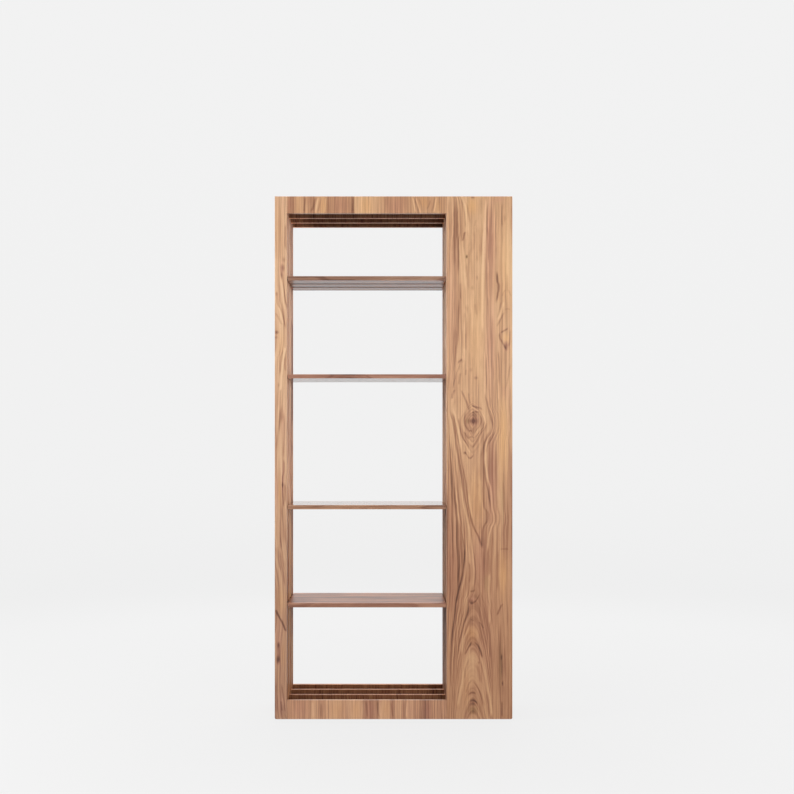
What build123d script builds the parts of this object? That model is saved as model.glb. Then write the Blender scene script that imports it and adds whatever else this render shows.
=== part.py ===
from build123d import *
import os

# Walnut bookcase: four flat frames of one outline stand one behind the other, 86 mm apart,
# inside a shallow case. The window through all four is open front and back. Four loose
# shelves rest on steel pins in rows of holes in the window's side edges.
# Millimetres. X runs left to right seen from the front, the front faces -Y, +Z is up.
# The origin is on the floor, under the middle of the case.

os.makedirs("parts", exist_ok=True)

# ---------------------------------------------------------------- driving dimensions
WIDTH = 908.0            # outside, left to right
DEPTH = 330.0            # outside, front to back
HEIGHT = 2000.0          # floor to top
BOARD = 18.0             # every board of the case and of the frames
GLIDE = 2.0              # thickness of the glides under the case

STILE_W = 47.0           # left stile of the front frame
WINDOW_W = 609.0         # open window, left to right
WINDOW_Z0 = 74.0         # lower edge of the window
WINDOW_Z1 = 1935.0       # upper edge of the window
HOUSING = 4.0            # how deep the middle ribs sit in the case boards

SHELF_T = 16.0           # shelf thickness
SHELF_GAP = 1.5          # side gap at each shelf end
SHELF_INSET = 0.5        # shelf edge behind the frame's face, front and back
SHELF_TOPS = (1695.0, 1320.0, 820.0, 445.0)   # top faces, shelf 1 is the highest

PIN_R = 2.5              # shelf pin
PIN_HOLE_R = 2.55        # its hole: 0.05 mm radial clearance
PIN_IN = 9.0             # length of pin inside the hole
PIN_OUT = 8.0            # length standing out of the edge
PIN_HOLE_DEPTH = 10.0
HOLE_PITCH = 25.0        # spacing of the hole rows
PIN_DROP = 13.3          # pin axis below the shelf's top face
NOTCH_W = 6.0            # stopped notch in the shelf's underside, over each pin
NOTCH_H = 5.5
NOTCH_L = 22.0

GROOVE_W = 24.0          # shallow relief grooves along the shelf's underside
GROOVE_H = 4.0

DOWEL_R = 4.0            # wooden dowels in the frames' corners and the case
DOWEL_HOLE_R = 4.05
DOWEL_HALF = 15.0
FACE_DOWEL_X = (-350.0, -100.0, 150.0)                   # along the rails
FACE_DOWEL_Z = (150.0, 580.0, 1010.0, 1440.0, 1870.0)    # along the sides
ARRIS = 0.5              # small chamfer on every long visible edge
FOOT_R = 6.0             # rounded lower outer corners

# ---------------------------------------------------------------- derived positions
XL, XR = -WIDTH / 2, WIDTH / 2
YF, YB = -DEPTH / 2, DEPTH / 2
Z0, Z1 = GLIDE, HEIGHT
WX0 = XL + STILE_W
WX1 = WX0 + WINDOW_W
PITCH_Y = (DEPTH - BOARD) / 3                  # frame to frame
FRAME_Y = [YF + i * PITCH_Y for i in range(4)] # front face of each frame
FRAME_NAMES = ("front", "front_rib", "rear_rib", "back")

HOLE_Z0 = SHELF_TOPS[3] - PIN_DROP
HOLE_Z = [HOLE_Z0 + k * HOLE_PITCH for k in range(-12, 59)]


def save(part, label):
    part.label = label
    export_step(part, "parts/" + label + ".step")
    print(f"{label:28s} solids {len(part.solids()):2d}  volume {part.volume / 1000:10.2f} cm3")


# ---------------------------------------------------------------- the four frames
# Each frame: a full-height left stile, a full-height wide right panel and two rails
# butted between them. The front and back frames reach the outside of the case and cover
# its edges; the two ribs stand inside the case, let into its boards.
for index, name in enumerate(FRAME_NAMES):
    outer = name in ("front", "back")
    ya = FRAME_Y[index]
    yb = ya + BOARD
    ym = (ya + yb) / 2
    if outer:
        fx0, fx1, fz0, fz1 = XL, XR, Z0, Z1
    else:
        fx0, fx1 = XL + BOARD - HOUSING, XR - BOARD + HOUSING
        fz0, fz1 = Z0 + BOARD - HOUSING, Z1 - BOARD + HOUSING
    # heights of the dowels that join the rails to the stile and the panel
    low_mid = (fz0 + WINDOW_Z0) / 2
    top_mid = (fz1 + WINDOW_Z1) / 2
    step = 13.0 if not outer else 18.0
    dowel_z = [low_mid - step, low_mid + step, top_mid - step, top_mid + step]
    pin_rows = outer
    inner_y = yb if name == "front" else ya

    with BuildPart() as stile:
        with BuildSketch(Plane.XZ.offset(-yb)):
            with Locations(((fx0 + WX0) / 2, (fz0 + fz1) / 2)):
                Rectangle(WX0 - fx0, fz1 - fz0)
        extrude(amount=BOARD)
        if outer:
            fillet(stile.edges().filter_by(Axis.Y).group_by(Axis.Z)[0].sort_by(Axis.X)[0], radius=FOOT_R)
            face = stile.faces().sort_by(Axis.Y)[0 if name == "front" else -1]
            chamfer(face.edges(), length=ARRIS)
            window_edge = stile.edges().filter_by(Axis.Z).sort_by(Axis.X)[-1]
            chamfer(window_edge, length=ARRIS)
        else:
            chamfer(stile.edges().filter_by(Axis.Z).group_by(Axis.X)[-1], length=ARRIS)
        with BuildSketch(Plane.YZ.offset(WX0)):
            with Locations([(ym, z) for z in dowel_z]):
                Circle(DOWEL_HOLE_R)
        extrude(amount=-DOWEL_HALF - 1, mode=Mode.SUBTRACT)
        if pin_rows:
            with BuildSketch(Plane.YZ.offset(WX0)):
                with Locations([(ym, z) for z in HOLE_Z]):
                    Circle(PIN_HOLE_R)
            extrude(amount=-PIN_HOLE_DEPTH, mode=Mode.SUBTRACT)
            with BuildSketch(Plane.XZ.offset(-inner_y)):
                with Locations([(XL + BOARD / 2, z) for z in FACE_DOWEL_Z]):
                    Circle(DOWEL_HOLE_R)
            extrude(amount=12.0 if name == "front" else -12.0, mode=Mode.SUBTRACT)
    save(stile.part, name + "_left_stile")

    with BuildPart() as panel:
        with BuildSketch(Plane.XZ.offset(-yb)):
            with Locations(((fx1 + WX1) / 2, (fz0 + fz1) / 2)):
                Rectangle(fx1 - WX1, fz1 - fz0)
        extrude(amount=BOARD)
        if outer:
            fillet(panel.edges().filter_by(Axis.Y).group_by(Axis.Z)[0].sort_by(Axis.X)[-1], radius=FOOT_R)
            face = panel.faces().sort_by(Axis.Y)[0 if name == "front" else -1]
            chamfer(face.edges(), length=ARRIS)
            window_edge = panel.edges().filter_by(Axis.Z).sort_by(Axis.X)[0]
            chamfer(window_edge, length=ARRIS)
        else:
            chamfer(panel.edges().filter_by(Axis.Z).group_by(Axis.X)[0], length=ARRIS)
        with BuildSketch(Plane.YZ.offset(WX1)):
            with Locations([(ym, z) for z in dowel_z]):
                Circle(DOWEL_HOLE_R)
        extrude(amount=DOWEL_HALF + 1, mode=Mode.SUBTRACT)
        if pin_rows:
            with BuildSketch(Plane.YZ.offset(WX1)):
                with Locations([(ym, z) for z in HOLE_Z]):
                    Circle(PIN_HOLE_R)
            extrude(amount=PIN_HOLE_DEPTH, mode=Mode.SUBTRACT)
            with BuildSketch(Plane.XZ.offset(-inner_y)):
                with Locations([(XR - BOARD / 2, z) for z in FACE_DOWEL_Z]):
                    Circle(DOWEL_HOLE_R)
            extrude(amount=12.0 if name == "front" else -12.0, mode=Mode.SUBTRACT)
    save(panel.part, name + "_right_panel")

    for rail_name, rz0, rz1 in (("top_rail", WINDOW_Z1, fz1), ("bottom_rail", fz0, WINDOW_Z0)):
        with BuildPart() as rail:
            with BuildSketch(Plane.XZ.offset(-yb)):
                with Locations(((WX0 + WX1) / 2, (rz0 + rz1) / 2)):
                    Rectangle(WX1 - WX0, rz1 - rz0)
            extrude(amount=BOARD)
            if outer:
                face = rail.faces().sort_by(Axis.Y)[0 if name == "front" else -1]
                chamfer(face.edges(), length=ARRIS)
                pick = 0 if rail_name == "top_rail" else -1
                inner = rail.edges().filter_by(Axis.X).group_by(Axis.Z)[pick].sort_by(Axis.Y)
                chamfer(inner[-1 if name == "front" else 0], length=ARRIS)
            else:
                pick = 0 if rail_name == "top_rail" else -1
                chamfer(rail.edges().filter_by(Axis.X).group_by(Axis.Z)[pick], length=ARRIS)
            spots = [z for z in dowel_z if rz0 < z < rz1]
            with BuildSketch(Plane.YZ.offset(WX0)):
                with Locations([(ym, z) for z in spots]):
                    Circle(DOWEL_HOLE_R)
            extrude(amount=DOWEL_HALF + 1, mode=Mode.SUBTRACT)
            with BuildSketch(Plane.YZ.offset(WX1)):
                with Locations([(ym, z) for z in spots]):
                    Circle(DOWEL_HOLE_R)
            extrude(amount=-DOWEL_HALF - 1, mode=Mode.SUBTRACT)
            if outer:
                zc = Z1 - BOARD / 2 if rail_name == "top_rail" else Z0 + BOARD / 2
                with BuildSketch(Plane.XZ.offset(-inner_y)):
                    with Locations([(x, zc) for x in FACE_DOWEL_X]):
                        Circle(DOWEL_HOLE_R)
                extrude(amount=12.0 if name == "front" else -12.0, mode=Mode.SUBTRACT)
        save(rail.part, name + "_" + rail_name)

    # dowels across the four butt joints of this frame
    with BuildPart() as dowels:
        for xj in (WX0, WX1):
            with BuildSketch(Plane.YZ.offset(xj - DOWEL_HALF)):
                with Locations([(ym, z) for z in dowel_z]):
                    Circle(DOWEL_R)
            extrude(amount=2 * DOWEL_HALF)
        chamfer(dowels.edges().filter_by(GeomType.CIRCLE), length=0.8)
    save(dowels.part, name + "_frame_dowels")

# ---------------------------------------------------------------- the case boards
# Two full-height sides with the top and bottom between them, all behind the front frame
# and in front of the back frame. The two ribs sit in 4 mm housings across every board.
CY0, CY1 = YF + BOARD, YB - BOARD
RIB_Y = [FRAME_Y[1], FRAME_Y[2]]
corner_y = [-100.0, 0.0, 100.0]
corner_z = [Z0 + BOARD / 2, Z1 - BOARD / 2]

for name, xo, xi in (("left_side", XL, XL + BOARD), ("right_side", XR, XR - BOARD)):
    sign = 1 if xi > xo else -1
    with BuildPart() as side:
        with BuildSketch(Plane.XZ.offset(-CY1)):
            with Locations(((xo + xi) / 2, (Z0 + Z1) / 2)):
                Rectangle(BOARD, Z1 - Z0)
        extrude(amount=CY1 - CY0)
        low = side.edges().filter_by(Axis.Y).group_by(Axis.Z)[0].sort_by(Axis.X)
        fillet(low[0 if sign > 0 else -1], radius=FOOT_R)
        top = side.edges().filter_by(Axis.Y).group_by(Axis.Z)[-1].sort_by(Axis.X)
        chamfer(top[0 if sign > 0 else -1], length=ARRIS)
        with BuildSketch(Plane.YZ.offset(xi)):
            for y in RIB_Y:
                with Locations((y + BOARD / 2, (Z0 + Z1) / 2)):
                    Rectangle(BOARD, Z1 - Z0 - 2 * (BOARD - HOUSING))
        extrude(amount=-sign * HOUSING, mode=Mode.SUBTRACT)
        with BuildSketch(Plane.YZ.offset(xi)):
            with Locations([(y, z) for y in corner_y for z in corner_z]):
                Circle(DOWEL_HOLE_R)
        extrude(amount=-sign * 12.0, mode=Mode.SUBTRACT)
        for yp, way in ((CY0, -1), (CY1, 1)):
            with BuildSketch(Plane.XZ.offset(-yp)):
                with Locations([((xo + xi) / 2, z) for z in FACE_DOWEL_Z]):
                    Circle(DOWEL_HOLE_R)
            extrude(amount=way * 20.0, mode=Mode.SUBTRACT)
    save(side.part, name + "_board")

for name, zo, zi in (("top", Z1, Z1 - BOARD), ("bottom", Z0, Z0 + BOARD)):
    sign = 1 if zi > zo else -1
    with BuildPart() as cap:
        with BuildSketch(Plane.XZ.offset(-CY1)):
            with Locations((0.0, (zo + zi) / 2)):
                Rectangle(WIDTH - 2 * BOARD, BOARD)
        extrude(amount=CY1 - CY0)
        with BuildSketch(Plane.XY.offset(zi)):
            for y in RIB_Y:
                with Locations((0.0, y + BOARD / 2)):
                    Rectangle(WIDTH - 2 * BOARD, BOARD)
        extrude(amount=-sign * HOUSING, mode=Mode.SUBTRACT)
        for xe, way in ((XL + BOARD, 1), (XR - BOARD, -1)):
            with BuildSketch(Plane.YZ.offset(xe)):
                with Locations([(y, (zo + zi) / 2) for y in corner_y]):
                    Circle(DOWEL_HOLE_R)
            extrude(amount=way * 20.0, mode=Mode.SUBTRACT)
        for yp, way in ((CY0, -1), (CY1, 1)):
            with BuildSketch(Plane.XZ.offset(-yp)):
                with Locations([(x, (zo + zi) / 2) for x in FACE_DOWEL_X]):
                    Circle(DOWEL_HOLE_R)
            extrude(amount=way * 20.0, mode=Mode.SUBTRACT)
    save(cap.part, name + "_board")

# dowels in the case's four corners
with BuildPart() as corner_dowels:
    for xs in (XL + BOARD - 11.0, XR - BOARD - 19.0):
        with BuildSketch(Plane.YZ.offset(xs)):
            with Locations([(y, z) for y in corner_y for z in corner_z]):
                Circle(DOWEL_R)
        extrude(amount=30.0)
    chamfer(corner_dowels.edges().filter_by(GeomType.CIRCLE), length=0.8)
save(corner_dowels.part, "case_corner_dowels")

# dowels that hold the front and the back frame on the case's edges
side_spots = [(x, z) for x in (XL + BOARD / 2, XR - BOARD / 2) for z in FACE_DOWEL_Z]
cap_spots = [(x, z) for x in FACE_DOWEL_X for z in (Z0 + BOARD / 2, Z1 - BOARD / 2)]
for name, y_end in (("front_face_dowels", YF + BOARD + 19.0), ("back_face_dowels", YB - BOARD + 11.0)):
    with BuildPart() as face_dowels:
        with BuildSketch(Plane.XZ.offset(-y_end)):
            with Locations(side_spots + cap_spots):
                Circle(DOWEL_R)
        extrude(amount=30.0)
        chamfer(face_dowels.edges().filter_by(GeomType.CIRCLE), length=0.8)
    save(face_dowels.part, name)

# glides under the bottom board
with BuildPart() as glides:
    with BuildSketch(Plane.XY):
        with Locations([(x, y) for x in (-405.0, 0.0, 405.0) for y in (-120.0, 120.0)]):
            Circle(15.0)
    extrude(amount=GLIDE)
    chamfer(glides.edges().group_by(Axis.Z)[0], length=0.4)
save(glides.part, "glides")

# ---------------------------------------------------------------- shelves and their pins
PIN_Y = (YF + BOARD / 2, YB - BOARD / 2)
SX0, SX1 = WX0 + SHELF_GAP, WX1 - SHELF_GAP
SY0, SY1 = YF + SHELF_INSET, YB - SHELF_INSET

for number, top in enumerate(SHELF_TOPS, start=1):
    under = top - SHELF_T
    with BuildPart() as shelf:
        with BuildSketch(Plane.XY.offset(under)):
            with Locations(((SX0 + SX1) / 2, (SY0 + SY1) / 2)):
                Rectangle(SX1 - SX0, SY1 - SY0)
        extrude(amount=SHELF_T)
        chamfer(shelf.edges(), length=ARRIS)
        # stopped notches over the pins
        with BuildSketch(Plane.XY.offset(under)):
            for x in (SX0 + NOTCH_L / 2, SX1 - NOTCH_L / 2):
                for y in PIN_Y:
                    with Locations((x, y)):
                        Rectangle(NOTCH_L, NOTCH_W)
        extrude(amount=NOTCH_H, mode=Mode.SUBTRACT)
        # two relief grooves from end to end, at the depth of the ribs
        with BuildSketch(Plane.XY.offset(under)):
            for y in RIB_Y:
                with Locations(((SX0 + SX1) / 2, y + BOARD / 2)):
                    Rectangle(SX1 - SX0, GROOVE_W)
        extrude(amount=GROOVE_H, mode=Mode.SUBTRACT)
    save(shelf.part, f"shelf_{number}")

    axis_z = top - PIN_DROP
    for side_name, x_start in (("left", WX0 - PIN_IN), ("right", WX1 - PIN_OUT)):
        with BuildPart() as pins:
            with BuildSketch(Plane.YZ.offset(x_start)):
                with Locations([(y, axis_z) for y in PIN_Y]):
                    Circle(PIN_R)
            extrude(amount=PIN_IN + PIN_OUT)
            chamfer(pins.edges().filter_by(GeomType.CIRCLE), length=0.5)
        save(pins.part, f"shelf_{number}_{side_name}_pins")
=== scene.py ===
import math

import bpy
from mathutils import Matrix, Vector

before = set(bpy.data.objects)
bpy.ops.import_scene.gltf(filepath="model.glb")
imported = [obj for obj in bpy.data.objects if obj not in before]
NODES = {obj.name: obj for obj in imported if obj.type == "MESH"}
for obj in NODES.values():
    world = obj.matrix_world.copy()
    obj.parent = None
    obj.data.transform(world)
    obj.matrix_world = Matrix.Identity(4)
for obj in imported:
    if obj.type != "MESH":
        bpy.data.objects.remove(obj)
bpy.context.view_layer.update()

scene = bpy.context.scene
scene.view_settings.view_transform = "Standard"
scene.view_settings.look = "None"
scene.view_settings.exposure = 0.0
scene.view_settings.gamma = 1.0


def lin(r, g, b):
    """sRGB 0-255 to linear."""
    def f(c):
        c = c / 255.0
        return c / 12.92 if c <= 0.04045 else ((c + 0.055) / 1.055) ** 2.4
    return (f(r), f(g), f(b), 1.0)


# ------------------------------------------------------------------ node expressions
class Tree:
    """Builds shader maths from plain expressions, in a material or in a node group."""

    def __init__(self, mat=None, group=None):
        if group is not None:
            self.nt = group
        else:
            mat.use_nodes = True
            self.nt = mat.node_tree
            self.nt.nodes.clear()
        self.n = self.nt.nodes

    def put(self, sock, val):
        if isinstance(val, E):
            val = val.s
        if isinstance(val, bpy.types.NodeSocket):
            self.nt.links.new(val, sock)
        else:
            sock.default_value = val

    def math(self, op, *args, clamp=False):
        nd = self.n.new("ShaderNodeMath")
        nd.operation = op
        nd.use_clamp = clamp
        for i, a in enumerate(args):
            self.put(nd.inputs[i], a)
        return E(self, nd.outputs[0])

    def coords(self):
        tc = self.n.new("ShaderNodeTexCoord")
        sp = self.n.new("ShaderNodeSeparateXYZ")
        self.nt.links.new(tc.outputs["Object"], sp.inputs[0])
        return [E(self, sp.outputs[i]) * 1000.0 for i in range(3)]   # millimetres

    def normal(self):
        ge = self.n.new("ShaderNodeTexCoord")
        sp = self.n.new("ShaderNodeSeparateXYZ")
        self.nt.links.new(ge.outputs["Normal"], sp.inputs[0])
        return [E(self, sp.outputs[i]) for i in range(3)]

    def vec(self, x, y, z):
        cb = self.n.new("ShaderNodeCombineXYZ")
        for i, v in enumerate((x, y, z)):
            self.put(cb.inputs[i], v)
        return cb.outputs[0]

    def noise1(self, w, detail=2.0, rough=0.5):
        nd = self.n.new("ShaderNodeTexNoise")
        nd.noise_dimensions = "1D"
        self.put(nd.inputs["W"], w)
        nd.inputs["Scale"].default_value = 1.0
        nd.inputs["Detail"].default_value = detail
        nd.inputs["Roughness"].default_value = rough
        return E(self, nd.outputs[0])

    def noise3(self, x, y, z, detail=2.0, rough=0.5, distortion=0.0):
        nd = self.n.new("ShaderNodeTexNoise")
        nd.noise_dimensions = "3D"
        self.nt.links.new(self.vec(x, y, z), nd.inputs["Vector"])
        nd.inputs["Scale"].default_value = 1.0
        nd.inputs["Detail"].default_value = detail
        nd.inputs["Roughness"].default_value = rough
        nd.inputs["Distortion"].default_value = distortion
        return E(self, nd.outputs[0])

    def curve(self, x, pts):
        """Smooth curve through points (x, y)."""
        x0, x1 = pts[0][0], pts[-1][0]
        ys = [p[1] for p in pts]
        y0, y1 = min(ys), max(ys)
        if y1 - y0 < 1e-9:
            y1 = y0 + 1.0
        nd = self.n.new("ShaderNodeFloatCurve")
        c = nd.mapping.curves[0]
        norm = [((p[0] - x0) / (x1 - x0), (p[1] - y0) / (y1 - y0)) for p in pts]
        c.points[0].location = norm[0]
        c.points[1].location = norm[-1]
        for p in norm[1:-1]:
            c.points.new(*p)
        nd.mapping.use_clip = True
        nd.mapping.update()
        self.put(nd.inputs["Value"], self.clamp01((x - x0) / (x1 - x0)))
        return E(self, nd.outputs[0]) * (y1 - y0) + y0

    def clamp01(self, v):
        return self.math("ADD", v, 0.0, clamp=True)

    def smooth(self, v, a, b):
        """0 below a, 1 above b, smooth between (a may be above b)."""
        nd = self.n.new("ShaderNodeMapRange")
        nd.interpolation_type = "SMOOTHSTEP"
        self.put(nd.inputs["Value"], v)
        if a <= b:
            nd.inputs["From Min"].default_value = a
            nd.inputs["From Max"].default_value = b
            nd.inputs["To Min"].default_value = 0.0
            nd.inputs["To Max"].default_value = 1.0
        else:
            nd.inputs["From Min"].default_value = b
            nd.inputs["From Max"].default_value = a
            nd.inputs["To Min"].default_value = 1.0
            nd.inputs["To Max"].default_value = 0.0
        return E(self, nd.outputs[0])

    def mixc(self, fac, a, b, blend="MIX"):
        nd = self.n.new("ShaderNodeMix")
        nd.data_type = "RGBA"
        nd.blend_type = blend
        nd.clamp_factor = True
        self.put(nd.inputs[0], fac)
        self.put(nd.inputs[6], a)
        self.put(nd.inputs[7], b)
        return nd.outputs[2]

    def ramp(self, fac, stops, interp="EASE"):
        nd = self.n.new("ShaderNodeValToRGB")
        cr = nd.color_ramp
        cr.interpolation = interp
        while len(cr.elements) < len(stops):
            cr.elements.new(0.5)
        for el, (pos, col) in zip(cr.elements, stops):
            el.position = pos
            el.color = col
        self.put(nd.inputs[0], fac)
        return nd.outputs[0]

    def bump_at(self, x, y, cx, cy, rx, ry):
        """A soft round spot: 1 in the middle, 0 outside."""
        d = (((x - cx) / rx) ** 2.0 + ((y - cy) / ry) ** 2.0)
        return self.smooth(d, 1.0, 0.0)

    def fma(self, a, b, c):
        return self.math("MULTIPLY_ADD", a, b, c)

    def remap(self, v, a, b, lo_, hi_, smooth=True):
        nd = self.n.new("ShaderNodeMapRange")
        nd.interpolation_type = "SMOOTHSTEP" if smooth else "LINEAR"
        self.put(nd.inputs["Value"], v)
        nd.inputs["From Min"].default_value = a
        nd.inputs["From Max"].default_value = b
        nd.inputs["To Min"].default_value = lo_
        nd.inputs["To Max"].default_value = hi_
        return E(self, nd.outputs[0])

    def lines(self, u, v, items, total=0.0):
        """Single grain lines, a few to each node group, one group after the other."""
        for k in range(0, len(items), 6):
            g = bpy.data.node_groups.new("grain_lines", "ShaderNodeTree")
            for nm in ("u", "v", "before"):
                g.interface.new_socket(nm, in_out="INPUT", socket_type="NodeSocketFloat")
            g.interface.new_socket("after", in_out="OUTPUT", socket_type="NodeSocketFloat")
            sub = Tree(group=g)
            gi = sub.n.new("NodeGroupInput")
            go = sub.n.new("NodeGroupOutput")
            gu, gv, gt = [E(sub, gi.outputs[i]) for i in range(3)]
            # the tiny term makes each group wait for the one before it
            gu, gv = sub.fma(gt, 1e-7, gu), sub.fma(gt, 1e-7, gv)
            sub.put(go.inputs[0], sub.line_set(gu, gv, items[k:k + 6], gt))
            nd = self.n.new("ShaderNodeGroup")
            nd.node_tree = g
            for i, val in enumerate((u, v, total)):
                self.put(nd.inputs[i], val)
            total = E(self, nd.outputs[0])
        return total

    def line_set(self, u, v, items, total):
        """Each item is (half width, strength, points); a line runs along whichever axis
        it is longer in, and fades out at both ends."""
        for item in items:
            w, s, pts = item[:3]
            ends = item[3] if len(item) > 3 else 0.22
            dx, dy = abs(pts[-1][0] - pts[0][0]), abs(pts[-1][1] - pts[0][1])
            p, q = (v, u) if dy >= dx else (u, v)
            pp = [(b_, a_) if dy >= dx else (a_, b_) for a_, b_ in pts]
            pp.sort()
            p0, p1 = pp[0][0], pp[-1][0]
            qs = [c[1] for c in pp]
            q0, q1 = min(qs), max(qs)
            if q1 - q0 < 0.05:
                q1 = q0 + 0.05
            along = self.remap(p, p0, p1, 0.0, 1.0, smooth=False)
            if len(pp) > 2:
                nd = self.n.new("ShaderNodeFloatCurve")
                c = nd.mapping.curves[0]
                norm = [((c_[0] - p0) / (p1 - p0), (c_[1] - q0) / (q1 - q0)) for c_ in pp]
                c.points[0].location = norm[0]
                c.points[1].location = norm[-1]
                for c_ in norm[1:-1]:
                    c.points.new(*c_)
                nd.mapping.use_clip = True
                nd.mapping.update()
                self.put(nd.inputs["Value"], along)
                mid = self.fma(E(self, nd.outputs[0]), q1 - q0, q0)
            else:
                mid = self.fma(along, pp[1][1] - pp[0][1], pp[0][1])
            d = (q - mid).abs()
            prof = self.remap(d, 0.0, w * 1.85, 1.0, 0.0)
            env = self.remap(self.math("PINGPONG", along, 0.5), 0.0, ends, 0.0, s * (0.74 if s > 0 else 0.92))
            total = self.fma(prof, env, total)
        return total

    def spots(self, uv, items, total=0.0):
        """Soft spots: (x, y, half width, half height, strength)."""
        for k in range(0, len(items), 8):
            g = bpy.data.node_groups.new("grain_spots", "ShaderNodeTree")
            g.interface.new_socket("uv", in_out="INPUT", socket_type="NodeSocketVector")
            g.interface.new_socket("before", in_out="INPUT", socket_type="NodeSocketFloat")
            g.interface.new_socket("after", in_out="OUTPUT", socket_type="NodeSocketFloat")
            sub = Tree(group=g)
            gi = sub.n.new("NodeGroupInput")
            go = sub.n.new("NodeGroupOutput")
            acc = E(sub, gi.outputs[1])
            wait = sub.n.new("ShaderNodeVectorMath")
            wait.operation = "MULTIPLY_ADD"
            sub.put(wait.inputs[0], sub.vec(acc, acc, acc))
            wait.inputs[1].default_value = (1e-7, 1e-7, 0.0)
            sub.put(wait.inputs[2], gi.outputs[0])
            for cx, cy, rx, ry, s in items[k:k + 8]:
                nd = sub.n.new("ShaderNodeVectorMath")
                nd.operation = "MULTIPLY_ADD"
                sub.put(nd.inputs[0], wait.outputs[0])
                nd.inputs[1].default_value = (1.0 / rx, 1.0 / ry, 0.0)
                nd.inputs[2].default_value = (-cx / rx, -cy / ry, 0.0)
                ln = sub.n.new("ShaderNodeVectorMath")
                ln.operation = "LENGTH"
                sub.put(ln.inputs[0], nd.outputs[0])
                acc = sub.remap(E(sub, ln.outputs["Value"]), 0.0, 1.15, s, 0.0) + acc
            sub.put(go.inputs[0], acc)
            nd = self.n.new("ShaderNodeGroup")
            nd.node_tree = g
            self.put(nd.inputs[0], uv)
            self.put(nd.inputs[1], total)
            total = E(self, nd.outputs[0])
        return total


class E:
    def __init__(self, t, s):
        self.t, self.s = t, s

    def _b(self, op, o):
        return self.t.math(op, self, o)

    def __add__(self, o): return self._b("ADD", o)
    __radd__ = __add__
    def __sub__(self, o): return self._b("SUBTRACT", o)
    def __rsub__(self, o): return self.t.math("SUBTRACT", o, self)
    def __mul__(self, o): return self._b("MULTIPLY", o)
    __rmul__ = __mul__
    def __truediv__(self, o): return self._b("DIVIDE", o)
    def __neg__(self): return self._b("MULTIPLY", -1.0)
    def __pow__(self, o):
        if o == 2.0:
            return self.t.math("MULTIPLY", self, self)
        return self._b("POWER", o)
    def abs(self): return self.t.math("ABSOLUTE", self)
    def sqrt(self): return self.t.math("SQRT", self)
    def max(self, o): return self._b("MAXIMUM", o)
    def min(self, o): return self._b("MINIMUM", o)
    def clamp(self): return self.t.clamp01(self)


# ------------------------------------------------------------------ walnut
def finish_wood(t, colour, fibre, pores, rough=0.36, bump=0.22, spec=0.5):
    """Satin lacquered wood: colour and relief to a Principled shader."""
    nt = t.nt
    bs = t.n.new("ShaderNodeBsdfPrincipled")
    out = t.n.new("ShaderNodeOutputMaterial")
    nt.links.new(bs.outputs[0], out.inputs[0])
    t.put(bs.inputs["Base Color"], colour)
    t.put(bs.inputs["Roughness"], t.fma(fibre, 0.10, t.fma(pores, 0.12, rough - 0.05)))
    bs.inputs["IOR"].default_value = 1.5
    bs.inputs["Specular IOR Level"].default_value = spec
    bp = t.n.new("ShaderNodeBump")
    bp.inputs["Strength"].default_value = bump
    bp.inputs["Distance"].default_value = 0.0004
    t.put(bp.inputs["Height"], fibre * 0.6 - pores * 0.7)
    nt.links.new(bp.outputs[0], bs.inputs["Normal"])
    return bs


def grain_layers(t, a, b, h, seed):
    """Fine structure shared by all boards: fibre streaks, pores and slow mottling.
    h runs along the grain, a and b across it, all in millimetres."""
    fibre = t.noise3(a * 0.9 + seed, b * 0.9, h * 0.012, detail=3.0, rough=0.6)
    streak = t.noise3(a * 0.20 + seed * 1.7, b * 0.20, h * 0.0035, detail=3.0, rough=0.65)
    pore_n = t.noise3(a * 2.2 + seed * 2.3, b * 2.2, h * 0.11, detail=1.0, rough=0.5)
    pores = t.smooth(pore_n, 0.60, 0.72)
    mottle = t.noise3(a * 0.02 + seed * 0.3, b * 0.02, h * 0.006, detail=2.0, rough=0.55)
    return fibre, streak, pores, mottle


# tone steps from the palest early wood to the darkest line
TONES = [(0.0, lin(238, 198, 154)), (0.25, lin(221, 176, 135)), (0.5, lin(196, 148, 113)),
         (0.75, lin(162, 115, 87)), (1.0, lin(112, 75, 58))]


def wood_colour(t, val, fibre, streak, pores, mottle, amount=1.0):
    v = t.fma(streak - 0.5, 1.0 * amount, val)
    v = t.fma(fibre - 0.5, 0.55 * amount, v)
    v = t.fma(mottle - 0.5, 0.35 * amount, v).clamp()
    col = t.ramp(v, TONES, "LINEAR")
    return t.mixc(pores * 0.30, col, TONES[3][1])


def tint(t, col, amount, rgb):
    """Multiply by a pale colour, by an amount of 0 to 1."""
    return t.mixc(amount, col, t.mixc(1.0, col, (rgb[0], rgb[1], rgb[2], 1.0), "MULTIPLY"))


def front_units(t):
    """Figure units on the front face: 3.823 mm each, u to the right and v down."""
    x, y, z = t.coords()
    u = t.fma(x, 1.0 / 3.823, 454.0 / 3.823 + 274.8)
    v = t.fma(z, -1.0 / 3.823, 2000.0 / 3.823 + 196.5)
    return x, y, z, u, v


def low_shade_and_tone(t, col, v, strength=1.0, rgb=(0.86, 0.76, 0.73), start=330.0, end=690.0):
    """The whole front is golden at the top and redder and darker towards the floor: partly painted shade for the light
    falling off from the lamps above, partly the wood's own redder tone low down.
    """
    f = t.smooth(v, start, end) * strength
    return tint(t, col, f, rgb)


def inner_light_and_shade(t, col, v, high=(1.26, 1.32, 1.42), low=(0.56, 0.55, 0.64), ahead=False):
    """The long edges inside the openings: painted light makes them paler and pinker high up, painted shade makes them
    browner low down.
    """
    nx, ny, nz = t.normal()
    side = t.smooth(nx.abs().max(-ny) if ahead else nx.abs(), 0.5, 0.8)
    col = tint(t, col, side * t.smooth(v, 600.0, 380.0), high)
    return tint(t, col, side * t.smooth(v, 480.0, 640.0), low)


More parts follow.
